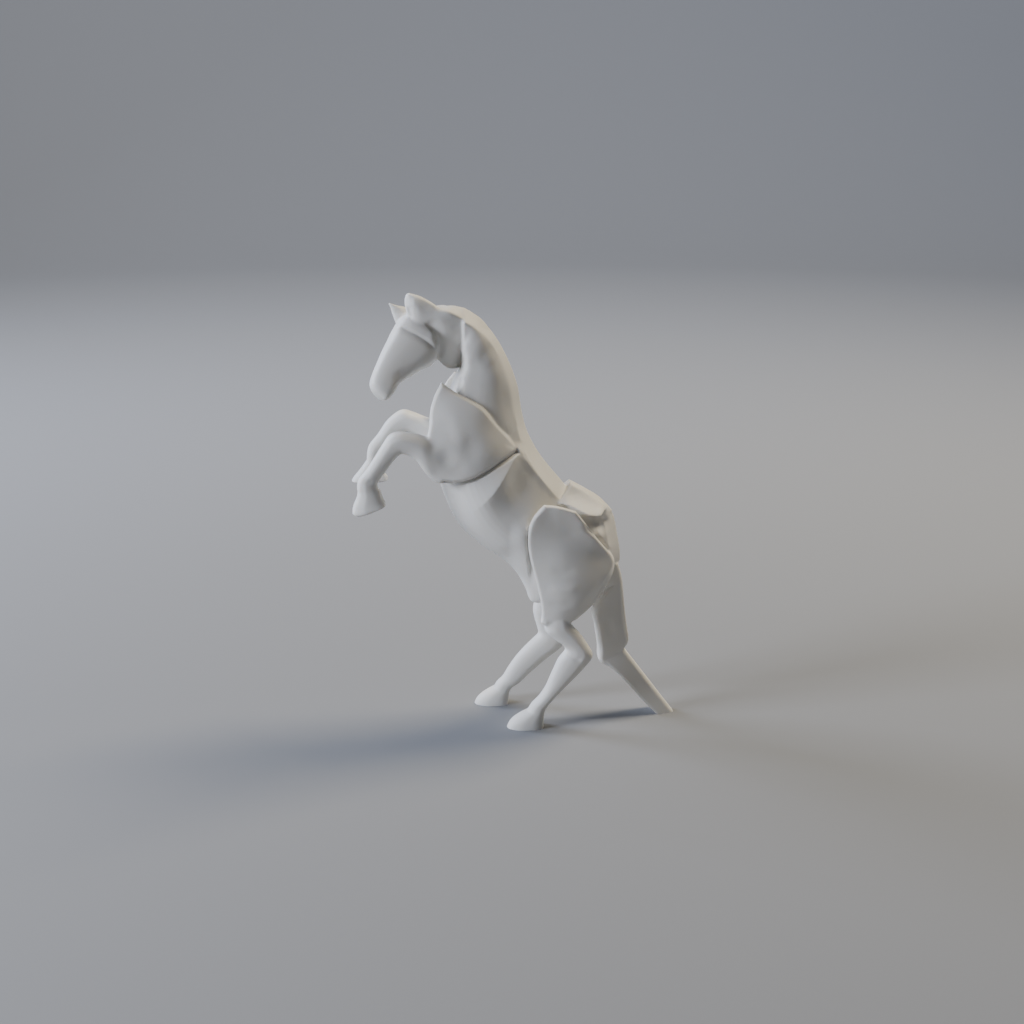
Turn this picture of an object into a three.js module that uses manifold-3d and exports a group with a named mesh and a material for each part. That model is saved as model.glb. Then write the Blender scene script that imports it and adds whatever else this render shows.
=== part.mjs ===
// Rearing horse figurine, one solid, in millimetres, +Z up.
// The horse faces -X and its left side faces -Y. The origin is on the table, under the middle of
// the figure's box.
import * as THREE from 'three';
import { mergeVertices } from 'three/addons/utils/BufferGeometryUtils.js';
import Module from 'manifold-3d';

const wasm = await Module();
wasm.setup();

// Driving dimensions
const STEPS_PER_SPAN = 2;      // rings between two neighbouring stations of a loft
const LEG_SPREAD = 13.5;       // hind hoof centre to the middle plane
const SHOULDER_OUT = 13.5;     // middle of a shoulder plate to the middle plane
const HAUNCH_OUT = 12.5;       // middle of a haunch plate to the middle plane
const HEAD_YAW = 26;           // degrees that the head is turned to its left
const HEAD_ROLL = 12;          // degrees that the head leans over
const POLL = [-33, 0, 144];    // pivot of the head, behind the ears

// Cross-sections, as half outlines from the top of a ring down its left side to its bottom.
// The first number runs from 1 at the high edge to -1 at the low edge, the second is the share of
// the half width.
const ROOF = [[1, 0], [0.78, 0.42], [0.36, 0.86], [-0.15, 1], [-0.62, 0.8], [-0.93, 0.38], [-1, 0]];
const NECK = [[1, 0], [0.84, 0.5], [0.3, 0.92], [-0.35, 1], [-0.85, 0.72], [-1, 0]];
const COWL = [[1, 0], [0.8, 0.72], [0.25, 0.78], [-0.35, 0.66], [-0.86, 0.78], [-1, 0]];
const PLATE = [
  [1, 0], [0.97, 0.62], [0.8, 0.86], [0.25, 1], [-0.35, 1], [-0.84, 0.82], [-0.98, 0.5], [-1, 0],
];
const CAP = [[1, 0], [0.84, 0.28], [0.1, 0.82], [-0.5, 1], [-0.82, 0.86], [-1, 0]];
const LIMB = [[1, 0], [0.8, 0.62], [0.25, 1], [-0.3, 1], [-0.82, 0.62], [-1, 0]];
const SKULL = [[1, 0], [0.95, 0.6], [0.62, 0.92], [0.05, 1], [-0.5, 0.8], [-0.93, 0.4], [-1, 0]];
const BOX = [[1, 0], [0.96, 0.72], [0.7, 1], [-0.7, 1], [-0.96, 0.72], [-1, 0]];
const HOOF = [[1, 0], [0.85, 0.55], [0.35, 0.95], [-0.4, 0.95], [-0.92, 0.7], [-1, 0]];

// A ring's whole outline: its left half, then its right half mirrored back up.
function ringOf(half) {
  const right = half.slice(1, -1).reverse().map(([along, side]) => [along, -side]);
  return [...half, ...right];
}

// A smooth curve through one column of the stations.
function throughStations(points) {
  return new THREE.CatmullRomCurve3(points, false, 'centripetal');
}

// A closed body lofted through stations [high x, high z, low x, low z, half width, y, low y].
// The low edge has a y of its own only where the ring is skewed. A cylinder's columns follow the
// cross-section and its rows follow the stations.
function loft(stations, half) {
  const ring = ringOf(half);
  const high = throughStations(stations.map(([x, z, , , , y]) => new THREE.Vector3(x, y, z)));
  const low = throughStations(
    stations.map(([, , x, z, , y, lowY = y]) => new THREE.Vector3(x, lowY, z)),
  );
  const spans = stations.length - 1;
  const widths = stations.map((station) => station[4]);
  const body = new THREE.CylinderGeometry(1, 1, 1, ring.length, spans * STEPS_PER_SPAN);
  const place = body.attributes.position;
  for (let i = 0; i < place.count; i += 1) {
    const share = THREE.MathUtils.clamp(0.5 - place.getY(i), 0, 1);
    const turn = Math.atan2(place.getX(i), place.getZ(i)) / (2 * Math.PI);
    const column = (Math.round(turn * ring.length) + ring.length) % ring.length;
    const onRim = Math.hypot(place.getX(i), place.getZ(i)) > 0.5;
    const [along, side] = onRim ? ring[column] : [0, 0];
    const span = Math.min(Math.floor(share * spans), spans - 1);
    const width = THREE.MathUtils.lerp(widths[span], widths[span + 1], share * spans - span);
    const top = high.getPoint(share);
    const bottom = low.getPoint(share);
    const point = bottom.lerp(top, (along + 1) / 2);
    place.setXYZ(i, point.x, point.y - side * width, point.z);
  }
  return body;
}

// The volume inside the triangles, which is negative when their faces point in.
function signedVolume(positions, triangles) {
  const corner = (n) => new THREE.Vector3().fromArray(positions, triangles[n] * 3);
  let sum = 0;
  for (let n = 0; n < triangles.length; n += 3) {
    sum += corner(n).dot(corner(n + 1).cross(corner(n + 2))) / 6;
  }
  return sum;
}

// A three.js geometry as a solid that can be joined and cut, with its faces pointing out.
function solid(geometry) {
  geometry.deleteAttribute('normal');
  geometry.deleteAttribute('uv');
  const merged = mergeVertices(geometry, 1e-4);
  const vertProperties = new Float32Array(merged.attributes.position.array);
  const triVerts = new Uint32Array(merged.index.array);
  if (signedVolume(vertProperties, triVerts) < 0) {
    for (let n = 0; n < triVerts.length; n += 3) {
      [triVerts[n], triVerts[n + 1]] = [triVerts[n + 1], triVerts[n]];
    }
  }
  return new wasm.Manifold(new wasm.Mesh({ numProp: 3, vertProperties, triVerts }));
}

// Every solid of a list joined into one.
function joined(solids) {
  return solids.reduce((sum, next) => sum.add(next));
}

function geometryOf(manifold) {
  const mesh = manifold.getMesh();
  const geometry = new THREE.BufferGeometry();
  geometry.setAttribute('position', new THREE.BufferAttribute(mesh.vertProperties, 3));
  geometry.setIndex(new THREE.BufferAttribute(mesh.triVerts, 1));
  geometry.computeVertexNormals();
  return geometry;
}

// Trunk from the neck's root, over the barrel, to the buttocks
function trunk() {
  return solid(loft([
    [2.5, 113, -20, 121, 7, 0],
    [4.7, 105, -24.5, 113, 12, 0],
    [7, 100, -27, 102, 14.5, 0],
    [9.3, 96, -27, 93, 15.5, 0],
    [12.6, 91.6, -24.6, 83.2, 16.5, 0],
    [16.3, 87.2, -19.4, 71.6, 17, 0],
    [19.8, 83.2, -11, 63.4, 16.5, 0],
    [25.3, 79.8, -4.2, 58.7, 15, 0],
    [33.4, 74.2, 1.2, 53, 14, 0],
    [37, 66, 4.4, 47.2, 13, 0],
    [38.2, 57, 6.8, 42, 10, 0],
    [35, 51, 13, 42.5, 5.5, 0],
  ], ROOF));
}

// Neck from the withers to the cowl, a hood with hollow sides that holds the head
function neck() {
  const column = loft([
    [5, 103, -22, 108, 11, 0],
    [3, 112, -22.6, 115.4, 9.5, 0],
    [1.6, 120.5, -20.6, 122.4, 8.6, 0],
    [-1.6, 129.4, -17.8, 127.8, 8.4, 0],
    [-6.2, 137.8, -17.4, 131, 8.4, 0],
    [-11.6, 144.2, -18.4, 134, 7.4, 0],
  ], NECK);
  const cowl = loft([
    [-3.4, 130, -16.6, 129, 7.6, 0],
    [-7, 138.4, -18.5, 127.2, 8.6, 0],
    [-11, 144.6, -22.5, 127.2, 8.8, -0.4],
    [-16.6, 148.4, -25.8, 130, 8.6, -0.8],
    [-24.3, 148.8, -29, 134.6, 7.6, -1.2],
    [-31, 147.5, -32, 139, 6, -1.6],
  ], COWL);
  return joined([solid(column), solid(cowl)]);
}

// Head, in its own frame with the poll at the origin, then leaned and turned
function head() {
  const skull = loft([
    [-2, 3, 7, -5, 6, 0],
    [-5.6, 0.6, 6.5, -9, 7.2, 0],
    [-8.9, -3, 5.8, -13.6, 7.4, 0],
    [-11.6, -6.8, 2.5, -16.6, 6.8, 0],
    [-14, -10, -2, -18.3, 5.8, 0],
    [-16.2, -13.4, -6.5, -20.1, 5, 0],
    [-18.4, -16.9, -10, -21.8, 4.5, 0],
    [-20, -20.4, -12.2, -24.4, 4.3, 0],
    [-19.6, -23, -14.6, -26.4, 3.7, 0],
    [-18, -25.2, -16.2, -26.8, 2.4, 0],
  ], SKULL);
  const nearEar = loft([
    [-6, -1, 7, 0.6, 2.6, -4],
    [-6.8, 3.5, 5.4, 4, 2.2, -4.6],
    [-6.4, 6.2, -0.6, 7, 1.5, -5],
    [-5.4, 8.3, -4.2, 8.5, 0.6, -5],
  ], PLATE);
  const farEar = loft([
    [-6.2, -1, 5, 1, 2.4, 4],
    [-6.6, 2.4, 0, 4, 1.8, 5],
    [-7, 4.6, -4.6, 5.2, 1.2, 5],
    [-7.7, 6, -7.3, 6.2, 0.5, 5],
  ], PLATE);
  const turn = new THREE.Matrix4().makeRotationZ(THREE.MathUtils.degToRad(HEAD_YAW));
  const lean = new THREE.Matrix4().makeRotationX(-THREE.MathUtils.degToRad(HEAD_ROLL));
  const place = new THREE.Matrix4().makeTranslation(...POLL).multiply(turn).multiply(lean);
  return joined([skull, nearEar, farEar].map((piece) => solid(piece.applyMatrix4(place))));
}

// Shoulder plates: shells with a free pointed tip beside the neck, closing into the withers
function shoulder(side, back, up) {
  const stations = [
    [-24, 123.2, -25.2, 123.6, 0.7, 10.8, 10.8],
    [-17.6, 119.8, -28, 118.2, 1.8, 10.8, 11.5],
    [-10.4, 115, -29.4, 113.5, 3.1, 10.8, 12.6],
    [-4.4, 107.8, -29.4, 107, 4.5, 10.4, SHOULDER_OUT],
    [1.4, 101.6, -28.4, 99.8, 5, 9, SHOULDER_OUT],
    [1, 100.6, -27.6, 96.4, 5, 9.6, SHOULDER_OUT],
    [-5.8, 96, -26.8, 92.6, 4.9, 12.6, SHOULDER_OUT],
    [-13.6, 91.6, -25.2, 89.4, 4.2, SHOULDER_OUT, SHOULDER_OUT],
  ];
  const tipShare = [1, 0.8, 0.5, 0.2, 0, 0, 0, 0];
  return solid(loft(stations.map(([hx, hz, lx, lz, half, y, lowY], i) => [
    hx + back * tipShare[i],
    hz + up * tipShare[i],
    lx + back * tipShare[i],
    lz + up * tipShare[i],
    half,
    y * side,
    lowY * side,
  ]), PLATE));
}

// Haunch plates: the big domed shells over the thighs, down to the stifles
function haunch(side) {
  const stations = [
    [11, 81.6, 9, 82, 0.7, 12, 12],
    [20.6, 78.8, 6.9, 78.8, 3.2, 11.6, 13.4],
    [24.1, 74, 5, 75.2, 5, 12, 13.4],
    [27.9, 68.8, 4.1, 70, 6.2, 11.6, 13],
    [32, 63.4, 4.6, 64, 7, 10, HAUNCH_OUT],
    [33.6, 57.4, 6.1, 57, 7.4, 8.6, 12],
    [31.6, 52, 7.7, 51, 7.4, 9.2, 12],
    [28.8, 47.3, 8.6, 46, 6.8, 10.6, 12.3],
    [25.8, 43.2, 8.8, 42, 6, 12, 12.8],
    [22.4, 39.8, 8.8, 38.4, 5.3, 13, 13],
    [18.8, 37.2, 9.6, 35.6, 4.6, LEG_SPREAD, LEG_SPREAD],
  ];
  return solid(loft(stations.map(([hx, hz, lx, lz, half, y, lowY]) => [
    hx, hz, lx, lz, half, y * side, lowY * side,
  ]), PLATE));
}

// Croup: the saddle-shaped cap over the rump, standing proud of the loin
function croup() {
  return solid(loft([
    [20.4, 85.7, 14.6, 78, 10, 0],
    [25.3, 83.3, 19.5, 75.6, 12.8, 0],
    [30, 80.4, 26, 73.4, 12.4, 0],
    [33.8, 76.6, 30, 72.6, 9.4, 0],
    [36, 72.6, 31, 70.6, 5, 0],
  ], CAP));
}

function nearForeleg() {
  return joined([
    solid(loft([
      [-19, 102, -19, 93, 2.6, -13],
      [-25.5, 103.6, -25, 88.4, 4.2, -13.4],
      [-30.6, 105.6, -30.2, 92.6, 4.5, -14],
      [-35, 106.9, -34.6, 97.6, 4.2, -14.6],
      [-40, 107.6, -38.6, 99.8, 4, -15],
      [-43.2, 106.6, -40.4, 99, 3.9, -15],
      [-45.6, 103.4, -42, 97.3, 3.6, -15],
      [-48.1, 99.4, -44.7, 93.6, 3.3, -15],
      [-51.4, 94.4, -47.3, 89.9, 3.2, -15],
      [-54.1, 91, -47.3, 88.2, 3.2, -15],
      [-54.6, 87.6, -46.2, 86.6, 3.4, -15],
    ], LIMB)),
    solid(loft([
      [-54.3, 88.2, -46.5, 87.4, 3.2, -15],
      [-54.5, 85.6, -45.6, 85.2, 4, -15],
      [-56, 81.8, -44.9, 82.9, 4.5, -15],
      [-56.2, 79, -44.6, 82.2, 4.5, -15],
      [-54.6, 78.2, -44.7, 82, 4.2, -15],
    ], HOOF)),
  ]);
}

function farForeleg() {
  return joined([
    solid(loft([
      [-18, 104, -18, 95, 3, 12],
      [-28.6, 106.7, -27, 96, 4.8, 12],
      [-34, 109, -32.6, 100.4, 4.4, 11.5],
      [-38.3, 110, -37, 102.2, 4.1, 11],
      [-43.2, 106.6, -40, 100.6, 3.8, 11],
      [-46.7, 101.6, -43, 96.6, 3.4, 11],
      [-50, 97.4, -45.6, 92.6, 3.3, 11],
      [-50.8, 93.2, -45, 89.6, 3.3, 11],
      [-50.6, 91, -44.6, 88.8, 3.4, 11],
    ], LIMB)),
    solid(loft([
      [-51, 92, -44.2, 89, 3.2, 11],
      [-53, 89.2, -43.7, 88, 3.8, 11],
      [-55.6, 86, -43.2, 86.2, 4.4, 11],
      [-56.4, 84.4, -43.4, 84.8, 4.5, 11],
    ], HOOF)),
  ]);
}

function nearHindLeg() {
  return joined([
    solid(loft([
      [12, 42, 18, 43, 3.4, -13],
      [10, 36, 19.6, 37.6, 4.6, -LEG_SPREAD],
      [13, 32.4, 22.7, 33.9, 4.6, -LEG_SPREAD],
      [16.5, 29.9, 25.2, 30.2, 4.4, -LEG_SPREAD],
      [17.2, 28, 27.1, 26.8, 4.3, -LEG_SPREAD],
      [15, 25.2, 26.6, 24.4, 4.2, -LEG_SPREAD],
      [13.6, 22.3, 23.8, 21, 4, -LEG_SPREAD],
      [12, 18.5, 20.2, 17.2, 3.8, -LEG_SPREAD],
      [10.3, 14.5, 16, 13, 3.6, -LEG_SPREAD],
      [8, 11, 13, 9.7, 3.6, -LEG_SPREAD],
      [5.2, 8, 10.7, 6.8, 3.7, -LEG_SPREAD],
      [3.4, 4.6, 10, 4, 4, -LEG_SPREAD],
    ], LIMB)),
    solid(loft([
      [3.9, 6, 10.2, 5.8, 3.7, -LEG_SPREAD],
      [0.6, 4.4, 10.1, 4, 4.3, -LEG_SPREAD],
      [-2, 2.4, 10, 2.2, 4.7, -LEG_SPREAD],
      [-3.2, 0, 10, 0, 4.8, -LEG_SPREAD],
    ], HOOF)),
  ]);
}

function farHindLeg() {
  return joined([
    solid(loft([
      [10, 43, 17, 44, 3.4, 13],
      [8.4, 36, 18.6, 38, 4.6, LEG_SPREAD],
      [9, 31.5, 20, 33.4, 4.7, LEG_SPREAD],
      [10, 28, 20.8, 29, 4.4, LEG_SPREAD],
      [10.2, 26, 20.6, 24.5, 4.3, LEG_SPREAD],
      [8, 23.8, 18.9, 20.8, 4.2, LEG_SPREAD],
      [5, 20.8, 14.6, 17.4, 4, LEG_SPREAD],
      [2.2, 17.6, 11, 14.4, 3.8, LEG_SPREAD],
      [-0.6, 13.6, 7.3, 11.1, 3.6, LEG_SPREAD],
      [-2.7, 10, 3.8, 7.8, 3.6, LEG_SPREAD],
      [-5, 7.6, 0.6, 5.6, 3.7, LEG_SPREAD],
      [-6.4, 4.6, -0.2, 3.8, 4, LEG_SPREAD],
    ], LIMB)),
    solid(loft([
      [-6, 6, -0.2, 5, 3.7, LEG_SPREAD],
      [-9.6, 4, -0.2, 3.6, 4.3, LEG_SPREAD],
      [-12, 2, -0.3, 1.8, 4.7, LEG_SPREAD],
      [-13, 0, -0.4, 0, 4.8, LEG_SPREAD],
    ], HOOF)),
  ]);
}

// Tail: a box-shaped upper length, bent at a soft fold into a strut that ends flat on the table
function tail() {
  return joined([
    solid(loft([
      [37.4, 56, 32, 54, 3.6, 0],
      [38.9, 50, 32.5, 46.5, 4.2, 0],
      [39.9, 40, 28.5, 38.6, 4.5, 0],
      [40.7, 33.7, 29.3, 32.5, 4.5, 0],
      [41.5, 27.6, 30.4, 25, 4.5, 0],
      [40, 24.4, 30.7, 20.2, 4.3, 0],
      [39, 22.6, 34, 18, 4, 0],
    ], BOX)),
    solid(loft([
      [38, 27, 31, 22, 3.8, 0],
      [40.8, 23, 33.6, 18.6, 4.2, 0],
      [46, 16, 38.4, 14.2, 4.4, 0],
      [52.7, 7, 45.6, 6, 4.4, 0],
      [58, 0, 51.2, 0, 4.4, 0],
    ], BOX)),
  ]);
}

const plastic = new THREE.MeshStandardMaterial({
  name: 'sintered white nylon',
  color: 0xe6e3dc,
  roughness: 0.62,
  metalness: 0,
});

const whole = joined([
  trunk(),
  neck(),
  head(),
  shoulder(-1, 0, 0),
  shoulder(1, 5.5, -0.2),
  haunch(-1),
  haunch(1),
  croup(),
  nearForeleg(),
  farForeleg(),
  nearHindLeg(),
  farHindLeg(),
  tail(),
]);

const horse = new THREE.Mesh(geometryOf(whole), plastic);
horse.name = 'horse';

// The stations count x and y from a rough middle, so the figure is slid until the middle of its
// box is over the origin. Its soles are already on z = 0.
const box = new THREE.Box3().setFromObject(horse);
horse.position.x = -(box.min.x + box.max.x) / 2;
horse.position.y = -(box.min.y + box.max.y) / 2;

const group = new THREE.Group();
group.add(horse);
export default group;
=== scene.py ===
import math

import bmesh
import bpy
import numpy as np
from mathutils import Matrix, Vector


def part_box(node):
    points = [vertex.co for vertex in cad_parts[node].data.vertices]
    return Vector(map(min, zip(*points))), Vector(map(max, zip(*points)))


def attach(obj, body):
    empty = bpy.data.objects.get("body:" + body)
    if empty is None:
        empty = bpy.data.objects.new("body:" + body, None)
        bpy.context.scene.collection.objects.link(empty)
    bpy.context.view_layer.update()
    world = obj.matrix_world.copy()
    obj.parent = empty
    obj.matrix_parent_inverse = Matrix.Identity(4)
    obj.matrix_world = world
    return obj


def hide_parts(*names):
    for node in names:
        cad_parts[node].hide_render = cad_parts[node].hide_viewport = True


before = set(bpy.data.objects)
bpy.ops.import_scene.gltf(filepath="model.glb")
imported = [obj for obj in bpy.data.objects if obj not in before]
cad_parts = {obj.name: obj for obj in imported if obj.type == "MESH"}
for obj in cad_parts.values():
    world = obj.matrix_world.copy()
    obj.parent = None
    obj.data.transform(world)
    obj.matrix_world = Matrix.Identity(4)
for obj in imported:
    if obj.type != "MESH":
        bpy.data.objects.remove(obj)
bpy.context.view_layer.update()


# ---------------------------------------------------------------------------
# Trunk: barrel, loin and buttocks of the figure, printed in one piece with all the rest in nylon.
# Each form is lofted here as a closed skin of its own, and all of them are fused at the end.
# The back is cut like a low roof, and a long fold runs down the flank from behind the shoulder.

MM = 0.001              # every size below is in millimetres of the real figure
RINGS_PER_SPAN = 6      # rings lofted between two stations
POINTS_PER_SPAN = 4     # points drawn between two points of an outline

forms = []              # the closed skins, each a bmesh, that are fused into one print
strokes = []            # lines that are cut into the fused skin or raised from it
flows = []              # spots (x, z, radius, side, least y) where forms flow into each other


def along_run(points, steps):
    """Points on a smooth curve through a run of points, all but the last."""
    ends = [points[0], *points, points[-1]]
    drawn = []
    for start in range(len(points) - 1):
        a, b, c, d = (np.array(p, float) for p in ends[start:start + 4])
        for step in range(steps):
            t = step / steps
            curve = 2 * b + (c - a) * t
            curve = curve + (2 * a - 5 * b + 4 * c - d) * t ** 2
            curve = curve + (3 * b - a - 3 * c + d) * t ** 3
            drawn.append(curve / 2)
    return drawn


def outline(runs, steps=POINTS_PER_SPAN):
    """Points of an outline that is smooth inside each run and has a corner between runs."""
    return [point for run in runs for point in along_run(run, steps)]


def ring_of(runs):
    """A whole cross-section from its left half, which runs from (1, 0) round to (-1, 0)."""
    half = outline(runs) + [np.array(runs[-1][-1], float)]
    mirrored = [point * (1, -1) for point in reversed(half[1:-1])]
    return half + mirrored


def loft(stations, runs, end_runs=None, steps=RINGS_PER_SPAN):
    """A closed skin through stations (high x, high z, low x, low z, half width, y, low y).

    A cylinder's columns follow the cross-section and its rows follow the stations. The
    cross-section changes evenly from the first outline to the end outline."""
    first, last = ring_of(runs), ring_of(end_runs or runs)
    rows = along_run([(*s, s[5]) if len(s) == 6 else s for s in stations], steps)
    rows.append(np.array((*stations[-1], stations[-1][5])[:7], float))
    skin = bmesh.new()
    bmesh.ops.create_cone(
        skin, cap_ends=True, segments=len(first), radius1=1, radius2=1, depth=1
    )
    uprights = [e for e in skin.edges if abs(e.verts[0].co.z - e.verts[1].co.z) > 0.5]
    bmesh.ops.subdivide_edges(skin, edges=uprights, cuts=len(rows) - 2, use_grid_fill=True)
    for vert in skin.verts:
        number = round((0.5 - vert.co.z) * (len(rows) - 1))
        turn = math.atan2(vert.co.y, vert.co.x) / (2 * math.pi)
        column = round(turn * len(first)) % len(first)
        share = number / (len(rows) - 1)
        along, side = first[column] * (1 - share) + last[column] * share
        row = rows[number]
        high, low = Vector((row[0], row[5], row[1])), Vector((row[2], row[6], row[3]))
        vert.co = low.lerp(high, (along + 1) / 2) - Vector((0, side * row[4], 0))
    return skin


def stroke(line, rise, left, right=None, sides=(-1, 1), crisp=False, place=None, fades=(1.5, 1.5)):
    """Notes a line (x, z) along which the skin's flanks are raised, or cut with a rise below 0.

    It fades over `left` and `right` millimetres to the two sides of the line, as seen from the
    figure's left, and over `fades` times that at its ends. A crisp stroke has an edge along the
    line, and any other is rounded."""
    strokes.append((line, rise, left, right or left, sides, crisp, place, fades))


ROOF = [
    [(1, 0), (0.76, 0.5)],
    [(0.76, 0.5), (0.42, 0.72), (-0.05, 0.94), (-0.5, 0.92), (-0.9, 0.46), (-1, 0)],
]

trunk = [
    (2.5, 113, -20, 121, 7, 0),
    (4.7, 105, -24.5, 113, 12, 0),
    (7, 100, -27, 102, 14.5, 0),
    (9.3, 96, -27, 93, 16.3, 0),
    (12.6, 91.6, -24.6, 83.2, 17.2, 0),
    (16.3, 87.2, -19.4, 71.6, 17.2, 0),
    (19.8, 83.2, -11, 63.4, 16.5, 0),
    (25.3, 79.8, -4.2, 58.7, 15, 0),
    (34.4, 75.4, 1.2, 53, 14, 0),
    (37, 67, 4.4, 47.2, 13, 0),
    (38.2, 57, 6.8, 42, 8.4, 0),
    (35, 51, 13, 42.5, 4, 0),
]
forms.append(loft(trunk, ROOF))

BACK_RIDGE = [
    (1, 102.6), (1.8, 99.8), (2.9, 97.2), (4.9, 94.2), (7, 91.4), (9.5, 88.6), (12.6, 85.4),
    (15.8, 82),
]
FLANK_FOLD = [
    (2.6, 101.4), (1.2, 98.8), (-2, 94.3), (-4.7, 90.2), (-8.1, 85.8), (-11.4, 82.1),
    (-14.4, 79.2), (-18, 76.4),
]
stroke(BACK_RIDGE, 0.5, 2, 2.4, crisp=True)
stroke(FLANK_FOLD, 1.7, 9, 7, crisp=True, fades=(0.5, 2.4))
FLANK_HOLLOW = [(2.6, 96), (1.4, 92), (-1, 87), (-5, 83)]
stroke(FLANK_HOLLOW, -0.9, 7, 4, fades=(1, 1.4))
LOIN_SWELL = [(8.6, 86), (6.6, 80), (3.4, 74)]
stroke(LOIN_SWELL, 0.4, 6)
UNDER_RIDGE = [(5.4, 99), (9, 93), (13.4, 87)]
stroke(UNDER_RIDGE, -0.25, 2)


# ---------------------------------------------------------------------------
# Neck: a solid column from the withers to the crest, and the cowl that grows out of its top.
# The cowl is a hood round the throat with hollow sides and a thin rim below, and the head comes
# out of it. Behind the hollow the column's front edge stands up as a crisp upright lip.

COLUMN_FOOT = [
    [(1, 0), (0.84, 0.44)],
    [(0.84, 0.44), (0.4, 0.88), (-0.35, 1), (-0.84, 0.82), (-1, 0)],
]
COLUMN_TOP = [
    [(1, 0), (0.58, 0.64)],
    [(0.58, 0.64), (0.15, 0.94), (-0.4, 1), (-0.92, 0.9), (-1, 0)],
]
HOOD = [
    [(1, 0), (0.62, 0.68)],
    [(0.62, 0.68), (0.2, 0.68), (-0.35, 0.48), (-0.84, 0.44)],
    [(-0.84, 0.44), (-1, 0.5)],
    [(-1, 0.5), (-1, 0)],
]
HOOD_FRONT = [
    [(0.9, 0), (1.1, 0.72)],
    [(1.1, 0.72), (0.4, 0.8), (-0.4, 0.5), (-0.84, 0.46)],
    [(-0.84, 0.46), (-1, 0.5)],
    [(-1, 0.5), (-1, 0)],
]

column = [
    (6.6, 97, -20, 101, 8.4, 0),
    (5, 103, -22, 108, 10.8, 0),
    (3, 112, -22.6, 115.4, 10.6, 0),
    (1.6, 120.5, -20.6, 122.4, 9.4, 0),
    (-1.6, 129.4, -17.8, 127.8, 8.4, 0),
    (-6.2, 137.8, -17.4, 131, 8.4, 0),
    (-11.6, 144.2, -18.4, 134, 7.4, 0),
]
hood_back = [
    (-3.4, 130, -16.6, 129, 7.6, 0),
    (-7, 138.4, -18.5, 127.2, 8.6, 0),
    (-11, 143.8, -22.5, 127.2, 8.8, -0.4),
    (-16.6, 147.6, -25.8, 130, 8.6, -0.8),
]
hood_front = [
    hood_back[-1],
    (-20.8, 148.7, -27.4, 132.1, 8.2, -1),
    (-24.3, 148.3, -29, 134.6, 7.6, -1.2),
    (-31, 146.6, -32, 139, 6, -1.6),
]
forms.append(loft(column, COLUMN_FOOT, COLUMN_TOP))
forms.append(loft(hood_back, HOOD))
forms.append(loft(hood_front, HOOD, HOOD_FRONT))

CREST_RIDGE = [
    (-25.3, 148), (-21.2, 146.4), (-17.3, 144.3), (-14, 141.9), (-11.4, 139.8), (-8.4, 137.4),
    (-5.6, 134.2),
]
stroke(CREST_RIDGE, 0.4, 2, 3, crisp=True)
for side in (-1, 1):
    flows.append((-13, 139, 5.5, side, 3))
    flows.append((-17, 135, 5, side, 3))
    for x, z in ((-3.4, 129), (-2.2, 124), (-1, 118.6), (0, 113.4)):
        flows.append((x, z, 4, side, 2))
        flows.append((x - 3, z - 2, 4, side, 2))
COWL_LIP = [(-18.6, 125), (-18, 130), (-17.9, 136), (-17.9, 143)]
stroke(COWL_LIP, -3.8, 10, 0.8, crisp=True, fades=(0.3, 1.2))
COLUMN_DENT = [(-13, 136.4), (-10, 133.4), (-7.4, 129.6)]
stroke(COLUMN_DENT, -0.7, 4.5)
COLUMN_HOLLOW = [(-6, 127), (-4.4, 120), (-3, 112), (-2, 106)]
stroke(COLUMN_HOLLOW, -0.5, 4.5, 8)


# ---------------------------------------------------------------------------
# Left ear: a folded leaf of the same print, a shell whose back runs on into the side of the neck.
# A shell is cut out flat, its rim is chamfered, and it is then sprung over a few known heights.
# The right ear stands free and is lofted with the head below.

GRID = 1.5              # spacing of the cuts that let a shell bend


def sprung(heights):
    """A thin springy sheet through heights (x, z, height), as a function of x and z."""
    known = np.array(heights, float)
    count = len(known)

    def bend(dx, dz):
        square = dx ** 2 + dz ** 2 + 1e-9
        return square * np.log(square) / 2

    equations = np.zeros((count + 3, count + 3))
    equations[:count, :count] = bend(
        known[:, None, 0] - known[None, :, 0], known[:, None, 1] - known[None, :, 1]
    )
    equations[:count, count:] = np.c_[np.ones(count), known[:, :2]]
    equations[count:, :count] = equations[:count, count:].T
    weights = np.linalg.solve(equations, np.r_[known[:, 2], 0, 0, 0])

    def height(x, z):
        bent = bend(x - known[:, 0], z - known[:, 1]) @ weights[:count]
        return bent + weights[count] + weights[count + 1] * x + weights[count + 2] * z

    return height


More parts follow.
